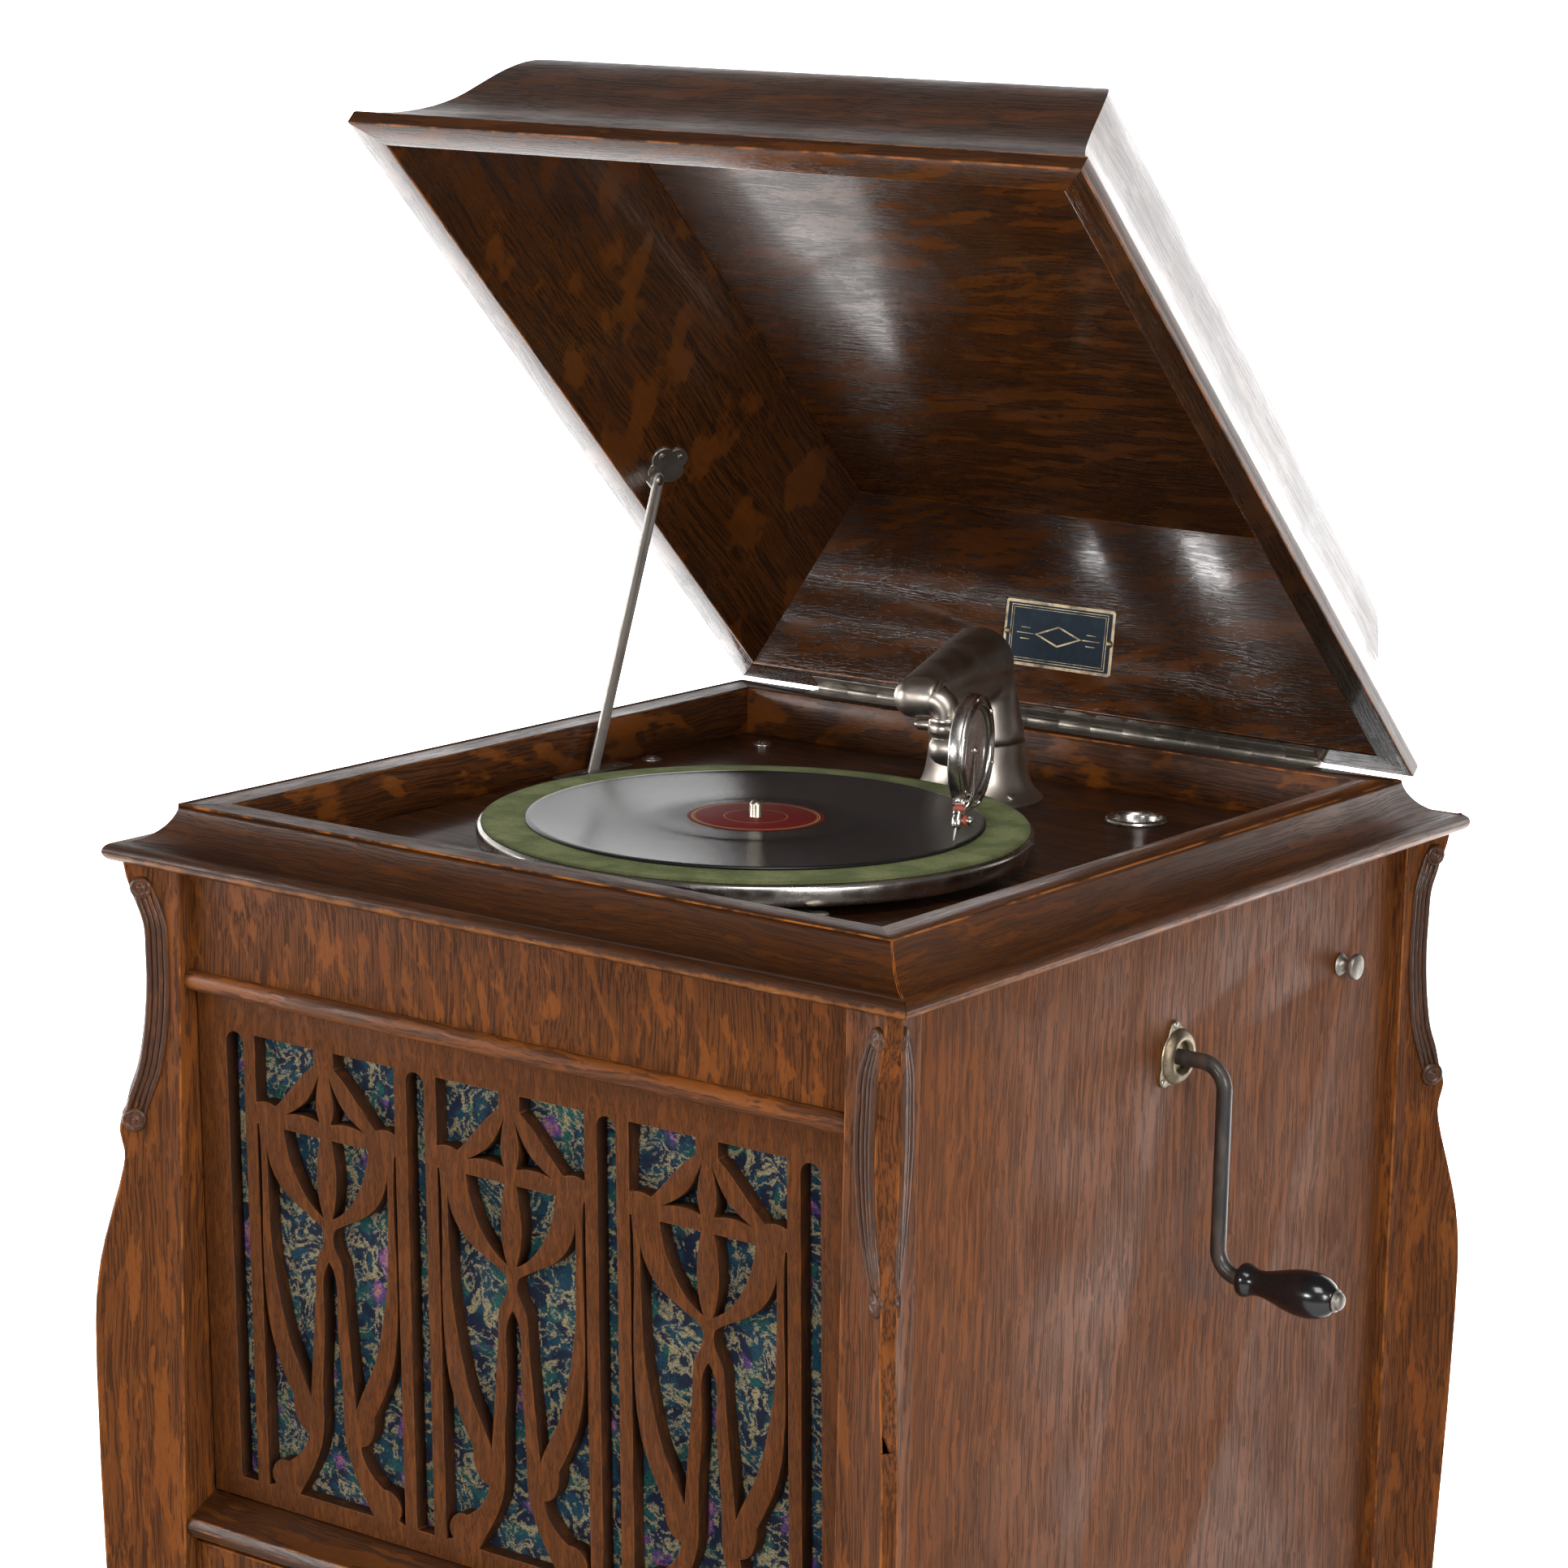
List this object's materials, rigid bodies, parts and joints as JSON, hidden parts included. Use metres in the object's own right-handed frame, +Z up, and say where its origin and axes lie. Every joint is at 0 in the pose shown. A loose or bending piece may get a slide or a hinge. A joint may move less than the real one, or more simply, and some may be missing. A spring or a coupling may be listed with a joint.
{
  "type": "wind up phonograph",
  "caption": "Upright oak cabinet phonograph with open hinged lid, felt turntable, swinging tonearm, fretted cloth grille, side winding crank and record cupboard.",
  "frame": {"origin": "on the floor under the middle of the cabinet", "axes": "+Z up, front of the cabinet towards -Y, winding crank on the +X side"},
  "size_m": [0.6203, 0.589, 1.4622],
  "materials": {
    "oak_dark": "varnished",
    "oak_carved": "satin",
    "plain_wood": "oiled",
    "brocade": "woven",
    "felt": "napped",
    "nickel": "satin",
    "steel": "satin",
    "black_steel": "worn",
    "black_wood": "gloss",
    "aged_brass": "aged",
    "motor_brass": "satin",
    "motor_iron": "painted",
    "shellac": "grooved",
    "mica": "clear",
    "plate_enamel": "enamel"
  },
  "bodies": {
    "case": {"corner_posts_front": "oak_dark", "corner_posts_back": "oak_dark", "post_scrolls": "oak_carved", "side_panel_left": "oak_dark", "side_panel_right": "oak_dark", "back_panel": "plain_wood", "frieze_board": "oak_dark", "grille_bead": "oak_dark", "grille_rail": "oak_dark", "grille_panel": "oak_carved", "grille_cloth": "brocade", "cornice": "oak_dark", "motor_board": "oak_dark", "board_cleats": "plain_wood", "shelves": "plain_wood", "record_dividers": "plain_wood", "base_rails": "oak_dark", "board_screws": "nickel", "stay_guide": "nickel", "needle_cup": "nickel", "escutcheon": "aged_brass", "tonearm_base": "nickel", "horn_throat": "motor_iron", "horn_flare": "plain_wood", "motor_frame": "motor_iron", "door_hinges": "aged_brass", "hinge_lower_leaf": "nickel"},
    "turntable": {"turntable": "nickel", "turntable_felt": "felt", "record": "shellac", "spindle": "nickel"},
    "idler": {"intermediate_gear": "motor_brass"},
    "barrel": {"spring_barrel": "motor_iron", "mainspring": "steel"},
    "arbor": {"barrel_arbor": "steel"},
    "crank": {"winding_shaft": "steel", "crank_arm": "black_steel"},
    "crank_grip": {"crank_handle": "black_wood"},
    "governor": {"governor": "motor_brass"},
    "tonearm": {"tonearm": "nickel"},
    "soundbox": {"crook": "nickel", "soundbox": "nickel", "soundbox_ring": "nickel", "diaphragm": "mica", "needle_arm": "nickel", "needle": "steel"},
    "brake": {"brake_lever": "nickel"},
    "speed": {"speed_lever": "nickel"},
    "tone": {"tone_knob": "aged_brass", "tone_damper": "steel"},
    "door_left": {"door_left": "oak_dark", "door_pull_left": "aged_brass"},
    "door_right": {"door_right": "oak_dark", "door_pull_right": "aged_brass"},
    "lid": {"lid_moulding": "oak_dark", "lid_panel": "oak_dark", "hinge_upper_leaf": "nickel", "name_plate": "plate_enamel", "stay_bracket": "nickel"},
    "stay": {"lid_stay": "nickel"}
  },
  "joints": [
    {"name": "lid_hinge", "type": "hinge", "parent": "case", "child": "lid", "pos_m": [0, 0.2615, 1.06565], "axis": [-1, 0, 0], "range_deg": [-44.03, 0]},
    {"name": "stay_pivot", "type": "hinge", "parent": "lid", "child": "stay", "pos_m": [-0.209, 0.13053, 1.20742], "axis": [-1, 0, 0], "range_deg": [-1, 24]},
    {"name": "turntable_spin", "type": "hinge", "parent": "case", "child": "turntable", "pos_m": [0, -0.047, 1.045], "axis": [0, 0, 1], "continuous": true},
    {"name": "idler_spin", "type": "hinge", "parent": "case", "child": "idler", "pos_m": [-0.03743, -0.05354, 0.95], "axis": [0, 0, 1], "continuous": true},
    {"name": "barrel_spin", "type": "hinge", "parent": "case", "child": "barrel", "pos_m": [-0.045, 0.008, 0.91], "axis": [0, 0, 1], "continuous": true},
    {"name": "governor_spin", "type": "hinge", "parent": "case", "child": "governor", "pos_m": [0, -0.0722, 0.985], "axis": [1, 0, 0], "continuous": true},
    {"name": "crank_turn", "type": "hinge", "parent": "case", "child": "crank", "pos_m": [0.25, 0.008, 0.953], "axis": [1, 0, 0], "continuous": true},
    {"name": "arbor_spin", "type": "hinge", "parent": "case", "child": "arbor", "pos_m": [-0.045, 0.008, 0.94], "axis": [0, 0, 1], "continuous": true},
    {"name": "crank_grip_spin", "type": "hinge", "parent": "crank", "child": "crank_grip", "pos_m": [0.3, 0.008, 0.838], "axis": [1, 0, 0], "continuous": true},
    {"name": "tonearm_swing", "type": "hinge", "parent": "case", "child": "tonearm", "pos_m": [0.003, 0.1665, 1.0964], "axis": [0, 0, 1], "range_deg": [-19.5, 19]},
    {"name": "soundbox_lift", "type": "hinge", "parent": "tonearm", "child": "soundbox", "pos_m": [0.07711, -0.00826, 1.12975], "axis": [-0.9553, -0.2957, 0], "range_deg": [0, 150]},
    {"name": "brake_turn", "type": "hinge", "parent": "case", "child": "brake", "pos_m": [0.118, -0.15, 1.0364], "axis": [0, 0, 1], "range_deg": [-10, 14]},
    {"name": "speed_turn", "type": "hinge", "parent": "case", "child": "speed", "pos_m": [-0.118, -0.16, 1.0364], "axis": [0, 0, 1], "range_deg": [-30, 30]},
    {"name": "tone_turn", "type": "hinge", "parent": "case", "child": "tone", "pos_m": [0.241, 0.184, 0.97], "axis": [1, 0, 0], "range_deg": [0, 90]},
    {"name": "door_left_hinge", "type": "hinge", "parent": "case", "child": "door_left", "pos_m": [-0.2186, -0.2665, 0.38], "axis": [0, 0, -1], "range_deg": [0, 110]},
    {"name": "door_right_hinge", "type": "hinge", "parent": "case", "child": "door_right", "pos_m": [0.2186, -0.2665, 0.38], "axis": [0, 0, 1], "range_deg": [0, 110]}
  ],
  "couplings": [
    {"joint": "stay_pivot", "follows": "lid_hinge", "ratio": -0.51847},
    {"joint": "idler_spin", "follows": "turntable_spin", "ratio": -0.26667},
    {"joint": "barrel_spin", "follows": "turntable_spin", "ratio": 0.051282},
    {"joint": "governor_spin", "follows": "turntable_spin", "ratio": 10},
    {"joint": "arbor_spin", "follows": "crank_turn", "ratio": 1}
  ]
}
